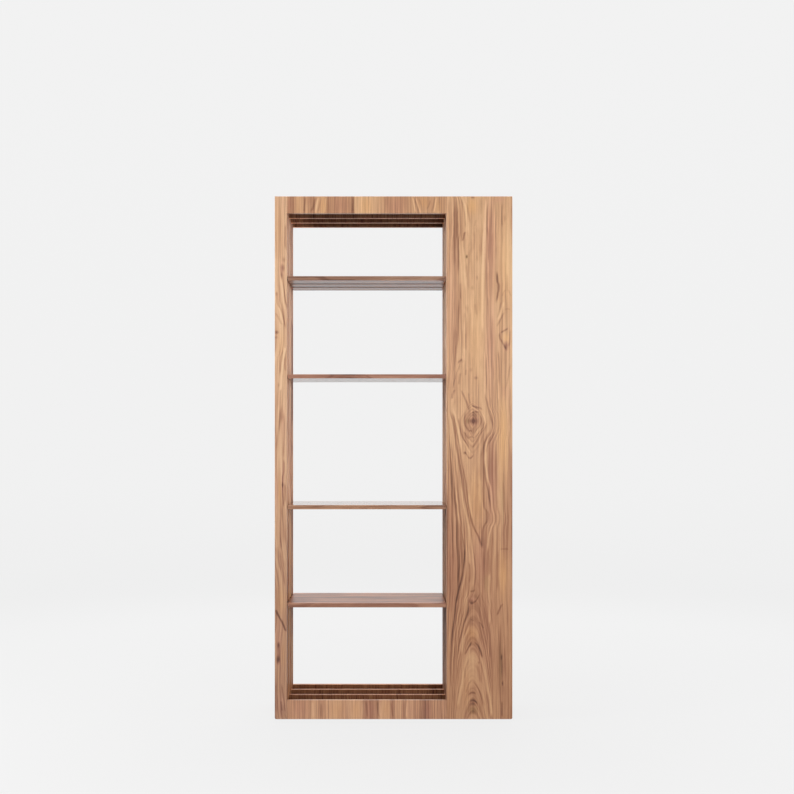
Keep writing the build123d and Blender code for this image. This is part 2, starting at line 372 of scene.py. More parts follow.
PANEL_L = [(197, 462), (230, 465), (242, 462.5), (300, 462.5), (350, 463), (375, 457), (395, 452.5), (410, 451),
           (420, 454), (440, 457.7), (460, 461), (480, 465), (500, 467.8), (515, 470), (530, 472), (545, 473),
           (566, 475), (584, 475), (600, 470), (616, 466.5), (633, 461.5), (650, 458.5), (680, 456), (720, 454)]
PANEL_R = [(197, 486), (235, 484), (260, 483), (300, 483.5), (335, 484), (370, 485.5), (395, 486), (410, 488.5),
           (423, 492), (430, 491), (440, 485.5), (450, 483), (462, 483), (480, 483), (500, 483.5), (513, 486),
           (518, 487.5), (524.5, 485), (533, 482.5), (548, 482.0), (565, 481), (590, 480.5), (605, 483.5),
           (620, 486.5), (640, 489.5), (660, 490.5), (720, 492)]

PANEL_LINES = [
    # above the knot, left
    (1.2, 0.34, [(456.6, 196), (456.8, 230), (458.2, 252), (458, 266), (457.4, 278)]),
    (0.8, 0.28, [(454.3, 196), (454.6, 272)]),
    (0.9, 0.22, [(449.2, 196), (449.4, 236)]),
    (0.8, -0.22, [(459.8, 232), (460.2, 268), (459.5, 300)]),
    (0.7, -0.22, [(453.2, 255), (453.4, 340)]),
    (0.8, 0.30, [(461.3, 197), (463.6, 210), (465.2, 221), (465.6, 231)]),
    (1.1, -0.26, [(463.4, 197), (465.0, 207), (467.0, 218), (467.8, 236)]),
    (0.9, 0.22, [(464.6, 200), (467.6, 209), (470.2, 225)]),
    (1.3, 0.14, [(479.0, 197), (480.8, 206), (480.0, 216)]),
    (1.0, 0.55, [(465.4, 231), (463.7, 236), (462.4, 242)]),
    (0.9, -0.28, [(462.5, 243), (464.2, 262), (465.4, 292)]),
    (1.2, 0.18, [(466.0, 262), (466.8, 275), (468.2, 291)]),
    (0.9, 0.16, [(473.6, 230), (473.2, 252)]),
    (0.8, 0.16, [(474.8, 227), (475.6, 221.5), (477.5, 219)]),
    (0.8, 0.26, [(461.6, 281), (460.4, 291), (461.4, 301)]),
    # above the knot, right
    (1.0, -0.48, [(485.8, 196), (485.4, 212), (484.2, 234), (482.9, 258), (482.5, 300), (482.6, 336)], 0.1),
    (0.7, 0.30, [(486.9, 203), (486.3, 238)]),
    (0.8, 0.30, [(488.2, 226), (488.0, 264)]),
    (1.4, 0.14, [(491.2, 200), (491.0, 306)]),
    (0.8, 0.30, [(495.7, 196), (495.7, 264)]),
    (0.5, -0.26, [(488.4, 256), (488.7, 304)]),
    (0.8, 0.20, [(486.2, 250), (486.4, 345)]),
    (0.9, 0.30, [(502.2, 202), (502.0, 216), (502.8, 229)]),
    (0.8, 0.20, [(507.2, 272), (507.4, 294)]),
    (0.7, 0.24, [(502.2, 297), (503.4, 293), (505.2, 289.5)]),
    (0.7, 0.24, [(508.2, 289), (511.2, 297)]),
    (1.0, 0.78, [(496.8, 270), (497.4, 281), (498.5, 287), (497.8, 294), (496.2, 304)]),
    # beside the middle, left
    (1.0, 0.42, [(458.6, 296), (458.2, 320), (457.0, 340), (455.4, 353), (454.5, 372), (453.4, 396)], 0.15),
    (0.8, 0.30, [(455.6, 318), (454.2, 345), (452.8, 372), (450.4, 394), (449.4, 410)]),
    (1.0, 0.45, [(455.2, 389), (453.2, 394), (452.0, 400)]),
    (0.6, 0.28, [(462.4, 327), (462.6, 358)]),
    (0.6, -0.26, [(464.2, 318), (464.4, 367)]),
    (0.7, 0.24, [(465.4, 332), (465.6, 352)]),
    (1.2, 0.46, [(462.6, 359.6), (460.0, 360.8), (457.4, 364.0)]),
    (0.8, 0.28, [(466.4, 369), (465.6, 376)]),
    (0.9, 0.30, [(460.8, 372), (459.5, 379), (458.8, 386)]),
    (1.2, 0.18, [(474.8, 303), (476.2, 316)]),
    # beside the middle, right
    (0.7, -0.32, [(483.4, 345), (484.8, 372), (484.7, 402)]),
    (0.5, 0.34, [(486.3, 352), (486.3, 392)]),
    (0.5, -0.24, [(490.5, 333), (490.7, 398)]),
    (0.5, 0.16, [(488.4, 300), (488.6, 372)]),
    (0.7, 0.34, [(497.4, 348), (498.8, 360), (499.6, 388)]),
    (0.5, -0.28, [(498.2, 380), (498.4, 402)]),
    (0.9, -0.34, [(503.6, 301), (501.6, 310), (498.2, 321)]),
    (0.7, 0.30, [(501.6, 301), (499.0, 311), (496.8, 319)]),
    (0.8, 0.34, [(505.0, 311), (501.0, 318.5), (496.4, 328)]),
    (0.7, 0.18, [(504.0, 312), (507.4, 309), (511.0, 311.5)]),
    (1.0, 0.50, [(499.9, 332.8), (503.4, 331.2), (508.8, 328.2)]),
    (1.1, 0.46, [(500.2, 331.5), (499.7, 336.5), (502.0, 342.0), (504.8, 347.0), (507.0, 351.5)]),
    (0.9, 0.32, [(510.4, 329), (510.0, 338), (508.4, 348)]),
    (0.8, 0.26, [(511.0, 362), (508.8, 374), (505.4, 390)]),
    # the eye-shaped knot
    (0.9, 0.52, [(460.8, 389), (464.2, 397), (467.0, 404), (468.4, 409), (470.6, 412)]),
    (0.8, 0.34, [(468.2, 392), (469.4, 401), (471.4, 405)]),
    (1.0, 0.48, [(470.6, 404.2), (474.6, 406.8), (479.4, 408.0), (483.0, 410.6)]),
    (0.7, -0.24, [(470.2, 405.6), (475.0, 409.2), (480.0, 411.4)]),
    (0.8, 0.40, [(466.8, 410.5), (464.6, 416), (464.6, 422), (467.0, 428.5), (469.6, 433.0)]),
    (0.8, 0.42, [(471.4, 413.2), (475.4, 411.9), (479.2, 413.6)]),
    (0.7, 0.40, [(479.2, 413.6), (481.2, 419), (480.4, 424), (476.6, 430), (473.8, 434.5)]),
    (0.8, -0.28, [(480.4, 411.5), (483.6, 417), (484.8, 422), (482.2, 428), (477.0, 434.5)]),
    (0.7, 0.46, [(484.2, 420), (483.8, 425.5), (479.0, 432.5), (474.2, 439.0)]),
    (0.8, 0.44, [(464.0, 431.5), (466.6, 436), (469.4, 440)]),
    (0.7, 0.40, [(468.6, 439.2), (471.0, 437.0), (474.4, 438.6)]),
    (0.8, 0.38, [(468.2, 432.0), (470.4, 430.8), (472.6, 432.6)]),
    (0.9, 0.46, [(458.2, 417), (459.6, 427), (462.6, 437.5), (466.8, 443.6), (471.0, 450.5)], 0.15),
    (0.8, 0.30, [(486.8, 422), (484.6, 428.5), (479.4, 435), (475.2, 442.5), (471.2, 450.5)]),
    (1.0, 0.50, [(462.8, 456.4), (464.2, 452.4), (466.8, 454.6), (469.4, 458.2), (472.4, 456.4), (474.8, 450.4)]),
    (0.8, -0.20, [(463.0, 440), (467.0, 447.5), (470.6, 453.5)]),
    # waist, left side
    (1.0, 0.58, [(451.4, 411), (454.6, 421.5), (456.6, 433), (459.3, 447), (461.2, 461), (464.6, 479), (467.6, 498),
                 (470.0, 515), (474.0, 528), (479.0, 538), (482.0, 549)], 0.05),
    (0.9, -0.30, [(452.4, 406), (456.5, 423), (459.5, 438), (462.0, 455)]),
    (0.9, -0.28, [(468.8, 492), (470.4, 508), (472.6, 520)]),
    (0.7, 0.34, [(450.0, 409), (454.0, 430), (457.0, 450), (460.6, 470), (463.4, 490), (467.6, 511), (470.6, 528),
                 (472.2, 546), (474.9, 564), (475.4, 577), (474.0, 588.5)], 0.05),
    (1.1, -0.36, [(468.4, 522), (470.6, 540), (473.0, 558), (473.6, 573), (471.4, 589)], 0.1),
    (0.8, 0.30, [(451.0, 440), (454.6, 468), (457.4, 494), (460.2, 520), (463.2, 540), (464.6, 552), (463.4, 571)], 0.1),
    (0.7, -0.26, [(456.0, 486), (458.0, 512), (462.4, 532), (464.8, 546)]),
    (0.7, 0.30, [(448.6, 436), (450.6, 456), (451.8, 468), (453.2, 482), (454.4, 498), (455.6, 518)]),
    (0.6, 0.26, [(448.8, 458), (450.4, 474), (451.4, 488), (452.0, 508)]),
    (0.6, -0.20, [(452.6, 452), (454.2, 470), (455.6, 488), (456.8, 506)]),
    (0.7, 0.30, [(457.6, 516), (459.2, 536), (459.8, 556), (458.8, 574), (456.2, 588)]),
    (0.7, 0.32, [(462.6, 568), (460.4, 582), (457.2, 596), (454.6, 614), (452.6, 634), (451.2, 652)]),
    (0.6, -0.24, [(459.6, 604), (458.0, 620), (456.4, 634), (454.4, 650)]),
    (0.6, 0.28, [(458.6, 600), (457.2, 614), (455.2, 630), (453.6, 648)]),
    (0.6, 0.24, [(453.2, 582), (452.4, 600), (450.6, 618), (449.4, 638)]),
    (0.6, -0.20, [(450.6, 606), (449.6, 626), (448.8, 648)]),
    (0.7, 0.28, [(464.8, 600), (462.4, 612), (460.0, 627), (457.6, 644)]),
    (0.7, -0.30, [(460.2, 482), (463.2, 503), (466.6, 519), (469.0, 532)]),
    (0.8, 0.48, [(464.4, 548), (463.8, 562), (462.2, 576), (458.8, 590), (456.4, 604)], 0.1),
    (0.8, -0.32, [(465.0, 540), (466.2, 560), (463.6, 581), (459.0, 599)]),
    (0.9, 0.34, [(468.4, 560), (470.0, 576), (466.8, 584.5)]),
    (0.6, -0.20, [(469.0, 548), (469.4, 566)]),
    # waist, right side
    (0.7, 0.38, [(484.6, 392), (488.4, 410), (492.0, 423), (493.4, 431)]),
    (0.6, 0.26, [(487.0, 398), (490.6, 414), (494.4, 428)]),
    (0.6, 0.22, [(490.2, 396), (492.8, 412), (495.6, 424)]),
    (1.2, 0.48, [(491.4, 430), (487.2, 436), (484.4, 444.5), (482.6, 456), (483.2, 474), (483.2, 492), (484.4, 507),
                 (487.6, 517.6), (485.2, 524.4), (482.6, 533), (482.8, 550)], 0.05),
    (0.9, 0.38, [(495.4, 430), (491.2, 439), (487.0, 447), (485.4, 456)]),
    (1.2, 0.22, [(481.2, 448), (480.6, 464), (481.8, 484)]),
    (0.8, -0.42, [(489.8, 438), (485.8, 454), (487.0, 474), (490.8, 491), (492.4, 508), (493.8, 519), (491.2, 528),
                  (488.2, 540), (487.2, 554)], 0.08),
    (0.7, 0.46, [(484.8, 458), (485.4, 478), (488.6, 494), (490.6, 510)]),
    (0.9, 0.22, [(496.0, 440), (495.8, 500), (496.8, 540)]),
    (0.8, 0.24, [(502.8, 478), (503.2, 500), (503.8, 530)]),
    (0.7, -0.16, [(506.6, 452), (506.6, 515), (508.2, 540)]),
    (0.8, 0.28, [(509.6, 448), (511.2, 472), (510.2, 500)]),
    (0.9, 0.36, [(498.6, 546), (497.6, 572), (496.6, 594)]),
    (0.8, 0.24, [(499.5, 549.5), (504.0, 549.0), (509.4, 549.5)]),
    (0.8, 0.22, [(488.8, 553), (491.2, 575), (491.4, 598)]),
    (0.8, -0.36, [(490.0, 572), (489.0, 590), (489.6, 612), (489.4, 625)], 0.1),
    (0.7, 0.30, [(490.8, 597), (491.4, 612), (490.4, 627)]),
    # below the waist
    (0.9, 0.40, [(469.6, 591.2), (472.6, 591.2), (475.4, 588.6)]),
    (1.0, 0.46, [(469.2, 598), (471.0, 603.2), (474.4, 602), (477.4, 598.2), (480.4, 592.6)]),
    (0.8, 0.36, [(480.2, 590), (483.4, 605), (486.6, 620), (489.4, 638), (490.4, 660)], 0.1),
    (0.8, 0.38, [(469.8, 603), (466.8, 615), (463.0, 627), (459.8, 641), (458.2, 656)], 0.12),
    (0.6, -0.20, [(466.4, 588), (464.6, 604), (460.8, 618)]),
    (0.9, -0.44, [(470.8, 622), (466.6, 632.6), (463.2, 640.5), (461.0, 656)]),
    (0.7, 0.20, [(470.2, 618.4), (472.2, 620.2), (474.6, 620.4)]),
    (0.9, 0.28, [(478.6, 621.4), (481.4, 624.6), (484.0, 629.0)]),
    (0.9, 0.56, [(472.2, 640.2), (470.2, 644.2), (467.6, 649), (464.6, 655.6)]),
    (1.0, 0.48, [(472.2, 640.6), (476.2, 643.8), (480.2, 650.2), (482.6, 659)]),
    (1.0, -0.30, [(472.2, 645), (467.6, 655), (463.6, 668), (461.4, 684), (457.4, 708)], 0.1),
    (1.0, -0.44, [(479.6, 653), (484.3, 670), (487.3, 687), (490.6, 706), (491.2, 718)], 0.1),
    (0.8, 0.30, [(470.4, 657), (466.2, 667), (464.2, 680)]),
    (1.3, 0.26, [(476.0, 663), (478.8, 674), (480.8, 684)]),
    (0.9, 0.36, [(472.0, 679.6), (468.6, 685), (466.2, 694)]),
    (0.9, 0.40, [(472.2, 679.8), (476.6, 686.4), (481.2, 695), (484.6, 708)]),
    (1.0, 0.52, [(467.6, 696.6), (470.0, 693.4), (473.0, 692.6), (476.4, 695.0)]),
    (1.1, 0.62, [(469.4, 703.4), (472.4, 700.4), (475.6, 701.6), (478.2, 705.4)]),
    (0.8, 0.28, [(487.2, 690), (488.0, 704), (489.2, 718)]),
    (0.8, 0.26, [(456.4, 603), (453.6, 622), (451.0, 648), (450.4, 690)], 0.1),
    (0.7, 0.26, [(461.8, 603), (457.4, 626), (454.6, 654), (453.2, 706)], 0.1),
    (0.6, -0.22, [(459.2, 606), (455.8, 626), (452.8, 652), (451.8, 690)]),
    (0.9, 0.48, [(502.6, 603), (499.4, 609.6), (497.2, 616)]),
    (1.0, 0.28, [(501.2, 618), (500.4, 642), (501.4, 662), (502.4, 684)]),
    (0.9, 0.42, [(501.6, 700), (502.4, 718)]),
    (0.8, -0.22, [(503.8, 634), (503.6, 654), (504.8, 690)]),
    (0.5, -0.20, [(510.0, 640), (510.0, 716)]),
    (0.6, 0.20, [(507.4, 600), (507.2, 660)]),
]
PANEL_SPOTS = [
    (472.4, 197.6, 3.0, 1.8, 0.35), (466.7, 256.8, 1.3, 2.4, 0.70), (477.6, 258.5, 1.6, 4.5, 0.14), (476.8, 278, 1.1, 3.4, 0.26),
    (472.4, 288, 2.2, 3.0, 0.18), (504.6, 218, 1.6, 5.5, 0.18), (466.6, 309, 2.6, 6.0, 0.12), (465.0, 315, 1.0, 4.0, 0.16),
    (470.8, 370, 2.4, 3.0, 0.16), (475.8, 378, 2.6, 2.2, 0.30), (474.2, 421, 4.6, 4.4, 0.50), (473.8, 415, 5.0, 4.0, 0.26), (472.8, 420.5, 8.5, 8.5, 0.20),
    (468.2, 421, 3.4, 4.0, 0.28), (464.6, 453.2, 2.2, 1.9, 0.34), (471.2, 601.4, 3.0, 3.2, 0.36), (474.6, 597, 3.6, 4.0, 0.16),
    (478.6, 662.6, 1.6, 1.8, 0.24), (501.5, 657, 1.2, 4.0, 0.36), (502.7, 683.4, 1.1, 3.4, 0.40), (506.4, 346, 3.4, 6.0, 0.34),
    (472.6, 704, 4.5, 3.0, 0.22), (473.0, 711, 7.0, 6.0, 0.12), (462.0, 361.5, 3.0, 2.4, 0.12),
]
# broad tone: positive is darker
PANEL_TONE = [
    (470, 205, 7, 9, -0.05), (478, 245, 12, 50, 0.03), (505, 250, 9, 50, -0.17), (476, 340, 12, 70, -0.08), (470, 545, 3, 40, -0.04),
    (504, 440, 7, 60, -0.14), (503, 575, 6, 34, -0.22), (476, 505, 12, 40, -0.10), (483, 565, 9, 34, 0.20), (453, 560, 9, 78, 0.26),
    (492, 470, 6, 50, 0.20), (490, 250, 7, 60, 0.16), (490, 345, 7, 60, 0.10), (452, 230, 8, 60, 0.06), (455, 320, 5, 45, 0.12),
    (500, 660, 8, 50, 0.10), (486, 640, 9, 60, 0.04), (474, 632, 8, 12, -0.10), (474, 658, 7, 14, -0.08), (505, 392, 8, 14, 0.06),
    (451, 490, 8, 60, 0.14), (508, 500, 6, 60, 0.08), (506, 338, 4, 7, -0.14),
]
PANEL_PINK = [(490, 240, 8, 60, 1.0), (490, 340, 8, 80, 0.8), (492, 480, 6, 60, 0.9), (451, 300, 9, 120, 0.6), (480, 560, 10, 40, 0.7),
              (451, 560, 9, 80, 0.5), (474, 421, 6, 6, 1.0), (506, 346, 4, 6, 1.0), (500, 199, 8, 5, 0.8), (472, 600, 5, 6, 0.8),
              (485, 640, 14, 60, 0.35), (505, 393, 8, 10, 0.4)]
PANEL_GOLD = [(472, 206, 8, 12, 1.0), (503, 440, 7, 60, 1.0), (503, 575, 6, 34, 1.0), (505, 270, 8, 60, 0.5), (476, 335, 12, 60, 0.4),
              (476, 500, 10, 40, 0.7), (506, 338, 5, 7, 0.8), (472, 634, 9, 12, 0.7), (466, 690, 6, 24, 0.3)]
PANEL_GREEN = [(466.7, 257, 2, 3, 1.0), (500.5, 665, 3, 30, 0.8), (473, 710, 7, 6, 0.8), (468, 421, 3, 4, 0.7), (486, 583, 4, 12, 0.6),
               (503, 500, 3, 30, 0.4)]


def mat_panel(name, seed=0.0):
    """Wide flat-sawn panel: plain middle, an eye-shaped knot at half height, a waist, and arches below."""
    m = bpy.data.materials.new(name)
    t = Tree(m)
    x, y, z, u, v = front_units(t)
    wob = (t.noise3(u * 0.20 + seed, v * 0.055, seed + 9.0, detail=2.0) - 0.5)
    uu = t.fma(wob, 1.5, u)
    uv = t.vec(uu, v, 0.0)
    xl = t.curve(v, PANEL_L)
    xr = t.curve(v, PANEL_R)
    # growth lines crowd towards the two edges and follow the boundary of the plain middle
    fl = (uu - 446.0) / (xl - 446.0) * 16.0
    fr = (512.4 - uu) / (512.4 - xr) * 27.0
    inl = t.smooth(uu - xl, 0.8, -0.8)
    inr = t.smooth(xr - uu, 0.8, -0.8)
    mid = (1.0 - inl - inr).clamp()
    nl = t.noise3(fl * 0.80 + 3.0 + seed, v * 0.006, seed, detail=2.5, rough=0.6)
    nr = t.noise3(fr * 0.50 + 23.0 + seed, v * 0.005, seed + 4.0, detail=2.5, rough=0.6)
    # arches in the middle low down, mottled plain wood above
    dxm = uu - t.curve(v, [(197, 474), (520, 474), (590, 474), (640, 472.5), (720, 473)])
    arch = t.fma(dxm * dxm, 0.22, v * -1.0)
    na = t.noise3(arch * 0.11 + 5.0, u * 0.02, seed + 1.0, detail=2.0, rough=0.6)
    low = t.smooth(v, 585.0, 615.0)
    nm = t.noise3(uu * 0.16, v * 0.028, seed + 2.0, detail=3.0, rough=0.6, distortion=0.6)
    val = t.fma(inl, (t.smooth(nl, 0.37, 0.66) - 0.42) * (0.36 + t.bump_at(u, v, 446.0, 510.0, 30.0, 110.0) * 0.14) + 0.02, 0.32)
    nf = t.noise3(uu * 0.62 + 51.0, v * 0.007, seed + 6.0, detail=2.0, rough=0.6)
    val = t.fma(mid * t.smooth(v, 600.0, 560.0), (t.smooth(nf, 0.36, 0.66) - 0.45) * 0.20, val)
    val = val + inr * ((t.smooth(nr, 0.35, 0.68) - 0.42) * 0.34)
    val = val + mid * ((nm - 0.5) * 0.52 * (1.0 - low * 0.6) + (t.smooth(na, 0.38, 0.66) - 0.45) * 0.34 * low - 0.03)
    # rings round the eye: round above, drawn down to a point below
    kx = (uu - 472.6).abs() / 14.0
    ky = ((v - 421.0).max(0.0) / 31.0) + ((421.0 - v).max(0.0) / 19.0)
    dk = ((kx ** 1.35) + (ky ** 1.35)) ** 0.74
    rn = t.noise3(dk * 7.5, u * 0.03, v * 0.03, detail=2.0, rough=0.55)
    val = val + t.smooth(dk, 1.25, 0.8) * ((t.smooth(rn, 0.34, 0.66) - 0.42) * 0.30 + 0.05)
    # darker towards the bottom: partly painted shade for the light falling off, partly the wood's own tone
    val = t.fma(t.smooth(v, 400.0, 640.0), 0.10, val)
    val = t.spots(uv, PANEL_TONE, val)
    val = t.spots(uv, PANEL_SPOTS, val)
    val = t.lines(uu, v, PANEL_LINES, val)
    fibre, streak, pores, mottle = grain_layers(t, x, y, z, 11.0 + seed)
    col = wood_colour(t, val, fibre, streak, pores, mottle, amount=0.9)
    col = tint(t, col, t.spots(uv, PANEL_PINK).clamp(), (0.99, 0.92, 1.02))
    col = tint(t, col, t.spots(uv, PANEL_GOLD).clamp(), (1.03, 0.97, 0.82))
    col = tint(t, col, t.spots(uv, PANEL_GREEN).clamp(), (0.88, 0.97, 0.84))
    # painted shade towards the floor, together with the wood's own redder tone
    col = low_shade_and_tone(t, col, v, rgb=(0.765, 0.675, 0.64), start=310.0, end=600.0)
    # painted light high up and painted shade low down on the faces inside the opening
    col = inner_light_and_shade(t, col, v)
    finish_wood(t, col, fibre, pores)
    return m


STILE_LINES = [
    (0.9, 0.34, [(281.8, 268), (282.6, 280), (284.4, 294), (286.4, 312)]),
    (0.7, -0.22, [(281.2, 276), (283.0, 295), (285.4, 312)]),
    (0.9, 0.34, [(286.4, 222), (285.2, 236), (286.0, 252)]),
    (0.9, 0.26, [(279.2, 304), (282.0, 312), (284.8, 324), (286.0, 330)]),
    (1.0, 0.22, [(275.2, 312), (278.6, 318), (282.0, 326)]),
    (0.7, -0.24, [(277.0, 304), (280.4, 313), (283.6, 325)]),
    (1.0, 0.22, [(276.4, 290), (277.8, 300), (279.4, 310)]),
    (0.9, -0.34, [(285.6, 346), (283.6, 356), (282.2, 366), (281.4, 378), (280.2, 392)], 0.1),
    (0.8, 0.30, [(284.2, 348), (281.6, 360), (280.2, 376)]),
    (0.9, 0.20, [(286.8, 356), (284.6, 362), (285.6, 372)]),
    (0.8, 0.18, [(278.0, 380), (278.4, 396), (277.4, 410)]),
    (1.1, 0.30, [(282.8, 404), (280.6, 412), (279.4, 424), (277.4, 440), (276.8, 452)]),
    (0.8, 0.26, [(281.4, 406), (283.6, 416), (284.4, 430), (283.8, 446), (283.6, 462)]),
    (0.8, 0.38, [(283.6, 458), (283.8, 470), (282.6, 480), (282.8, 492), (284.0, 508)], 0.1),
    (0.5, 0.44, [(284.8, 482), (285.2, 494), (285.2, 504)]),
    (0.9, 0.26, [(282.6, 500), (282.8, 516), (284.0, 530), (285.6, 546)]),
    (0.8, -0.22, [(281.6, 512), (281.8, 532), (283.4, 552), (285.2, 566)]),
    (0.8, 0.26, [(280.2, 516), (280.6, 534), (280.6, 552)]),
    (1.0, 0.26, [(279.4, 548), (281.2, 562), (283.6, 576), (285.0, 588)]),
    (1.0, 0.22, [(276.2, 545), (278.4, 560), (281.0, 572)]),
    (1.1, 0.52, [(275.6, 609), (278.6, 616), (282.0, 622), (286.2, 632)], 0.1),
    (1.1, 0.34, [(278.6, 640), (279.0, 652), (278.0, 664)]),
    (0.8, 0.26, [(281.4, 682), (283.2, 696), (284.2, 706), (286.6, 716)]),
    (0.6, -0.20, [(282.2, 696), (284.4, 708), (285.6, 716)]),
    (0.8, 0.22, [(280.8, 700), (282.6, 712)]),
    (0.8, 0.20, [(276.0, 680), (276.8, 715)]),
]
STILE_SPOTS = [
    (283.6, 260, 2.4, 4.0, 0.22), (282.6, 268, 2.6, 5.5, 0.36), (281.6, 275, 1.6, 4.5, 0.26), (276.6, 332.4, 2.8, 2.4, 0.36),
    (276.2, 337.5, 2.2, 2.0, 0.16), (276.6, 294, 1.8, 2.6, 0.14), (282.8, 485, 1.4, 3.2, 0.46), (278.0, 660, 2.6, 6.0, 0.34),
    (278.8, 645, 1.8, 4.0, 0.22), (281.6, 418, 2.0, 6.0, 0.14), (278.6, 385, 1.4, 3.0, 0.12), (282.0, 712, 6.0, 10.0, 0.12),
    (275.6, 690, 3.0, 34.0, 0.16), (287.2, 232, 1.8, 26.0, 0.18),
]
STILE_GOLD = [(279.6, 492, 2.2, 22, 1.0), (281, 600, 6, 22, 0.6), (281, 345, 5, 20, 0.4), (279, 230, 6, 40, 0.4), (283, 655, 3, 16, 0.5)]
STILE_PINK = [(283, 480, 2.5, 26, 1.0), (276.5, 490, 2.5, 30, 0.7), (278, 640, 5, 30, 0.9), (282, 270, 3, 10, 0.7), (284, 430, 3, 30, 0.5),
              (280, 705, 8, 16, 0.7)]


def mat_stile(name, seed=0.0):
    """Narrow upright board with slow lines that cross from one edge to the other."""
    m = bpy.data.materials.new(name)
    t = Tree(m)
    x, y, z, u, v = front_units(t)
    wob = (t.noise3(u * 0.22 + seed, v * 0.05, seed + 5.0, detail=2.0) - 0.5)
    uu = t.fma(wob, 1.4, u)
    uv = t.vec(uu, v, 0.0)
    drift = t.curve(v, [(197, 0), (250, 0.5), (300, -2), (330, -6), (360, -2), (400, 0), (450, 1), (500, 0.5), (560, -3),
                        (610, -8), (640, -6), (680, -5), (720, -8)])
    n = t.noise3((uu + drift) * 0.55 + seed, v * 0.008, seed, detail=2.5, rough=0.6)
    val = t.fma(t.smooth(n, 0.34, 0.68) - 0.45, 0.36, 0.27)
    # darker towards the bottom: partly painted shade for the light falling off, partly the wood's own tone
    val = t.fma(t.smooth(v, 430.0, 640.0), 0.14, val)
    val = t.fma(t.spots(uv, STILE_SPOTS), 1.35, val)
    val = t.fma(t.lines(uu, v, STILE_LINES), 1.45, val)
    fibre, streak, pores, mottle = grain_layers(t, x, y, z, 41.0 + seed)
    col = wood_colour(t, val, fibre, streak, pores, mottle, amount=0.85)
    col = tint(t, col, 1.0, (0.98, 1.0, 1.08))
    col = tint(t, col, t.spots(uv, STILE_PINK).clamp(), (0.97, 0.90, 0.99))
    col = tint(t, col, t.spots(uv, STILE_GOLD).clamp(), (1.03, 0.98, 0.82))
    # painted shade towards the floor, together with the wood's own redder tone
    col = low_shade_and_tone(t, col, v, rgb=(0.81, 0.77, 0.77), start=300.0, end=660.0)
    # painted light high up and painted shade low down on the faces inside the opening
    col = inner_light_and_shade(t, col, v)
    finish_wood(t, col, fibre, pores)
    return m


# tone across the rails: (u, tone)
TOP_BANDS = [(286, 0.46), (289, 0.40), (291, 0.54), (294, 0.52), (296, 0.30), (303, 0.32), (304.5, 0.56), (306, 0.36), (309, 0.42),
             (312, 0.56), (315, 0.46), (317, 0.26), (323, 0.30), (326, 0.30), (328.5, 0.60), (331, 0.46), (336, 0.50), (341, 0.44),
             (345, 0.52), (350, 0.50), (352.5, 0.66), (354.5, 0.30), (358, 0.26), (360, 0.20), (364, 0.28), (372, 0.26), (379, 0.36),
             (382, 0.34), (384, 0.50), (390, 0.52), (398, 0.50), (408, 0.52), (412, 0.40), (416, 0.42), (420, 0.40), (426, 0.44),
             (432, 0.44), (436, 0.34), (441, 0.42), (447, 0.42)]
LOW_BANDS = [(286, 0.50), (296, 0.50), (304, 0.52), (310, 0.48), (312, 0.38), (316, 0.32), (320, 0.46), (325, 0.42), (332, 0.32),
             (340, 0.38), (346, 0.40), (354, 0.34), (361, 0.36), (363, 0.58), (370, 0.64), (375, 0.58), (377, 0.72), (379, 0.40),
             (385, 0.36), (390, 0.44), (392.5, 0.66), (394.5, 0.46), (400, 0.40), (405, 0.62), (407, 0.42), (414, 0.54), (420, 0.58),
             (424, 0.74), (429, 0.74), (432, 0.58), (440, 0.60), (447, 0.62)]
TOP_LINES = [
    (1.3, 0.30, [(317.4, 196), (315.0, 201), (313.2, 207), (310.2, 213)]),
    (0.8, -0.26, [(319.0, 196), (317.0, 205), (315.4, 214)]),
    (0.6, 0.22, [(321.5, 197), (319.5, 206), (317.6, 214)]),
    (0.7, -0.22, [(325.8, 197), (324.8, 214)]),
    (0.9, 0.26, [(306.0, 196), (304.4, 206), (304.2, 214)]),
    (1.0, 0.26, [(353.4, 196), (353.2, 204), (351.4, 214)]),
    (0.5, -0.22, [(361.6, 196), (361.8, 214)]),
    (0.6, 0.18, [(385.6, 196), (385.2, 214)]),
    (0.7, -0.36, [(412.2, 196), (414.4, 206), (415.8, 214)]),
    (0.7, -0.32, [(415.6, 197), (418.2, 206), (420.6, 214)]),
    (0.7, 0.26, [(414.0, 196), (417.0, 207), (418.4, 214)]),
    (0.7, 0.20, [(418.0, 197), (421.5, 207), (422.6, 214)]),
    (0.8, 0.24, [(430.6, 200), (429.0, 205), (426.6, 210)]),
    (0.7, -0.36, [(436.8, 196), (435.2, 205), (433.6, 214)]),
    (0.7, 0.24, [(435.2, 196), (433.0, 206), (431.6, 214)]),
    (0.8, 0.22, [(439.4, 196), (438.6, 214)]),
]
LOW_LINES = [
    (0.8, 0.24, [(390.6, 701), (391.4, 708), (393.0, 718)]),
    (0.8, 0.26, [(377.4, 700), (378.0, 710), (380.4, 719)]),
    (1.0, 0.22, [(366.0, 700), (367.8, 719)]),
    (0.5, -0.26, [(406.8, 700), (406.4, 719)]),
    (0.6, 0.18, [(404.4, 700), (404.2, 719)]),
    (0.8, 0.20, [(321.0, 702), (321.4, 719)]),
    (0.8, -0.18, [(312.4, 701), (313.2, 719)]),
]
TOP_GOLD = [(323, 206, 6, 14, 0.8), (366, 206, 9, 14, 0.8), (424, 203, 8, 10, 0.8), (438, 206, 6, 12, 0.5), (299, 206, 6, 12, 0.3)]
TOP_PINK = [(341, 206, 12, 14, 0.8), (396, 206, 14, 14, 0.9), (290, 206, 6, 12, 0.8)]
LOW_GOLD = [(337, 710, 10, 14, 0.5), (356, 710, 6, 14, 0.6), (386, 710, 7, 14, 0.6)]
LOW_PINK = [(300, 710, 12, 14, 0.6), (370, 710, 7, 14, 0.9), (427, 710, 6, 14, 1.0), (392, 709, 3, 10, 0.6), (410, 710, 8, 12, 0.4)]


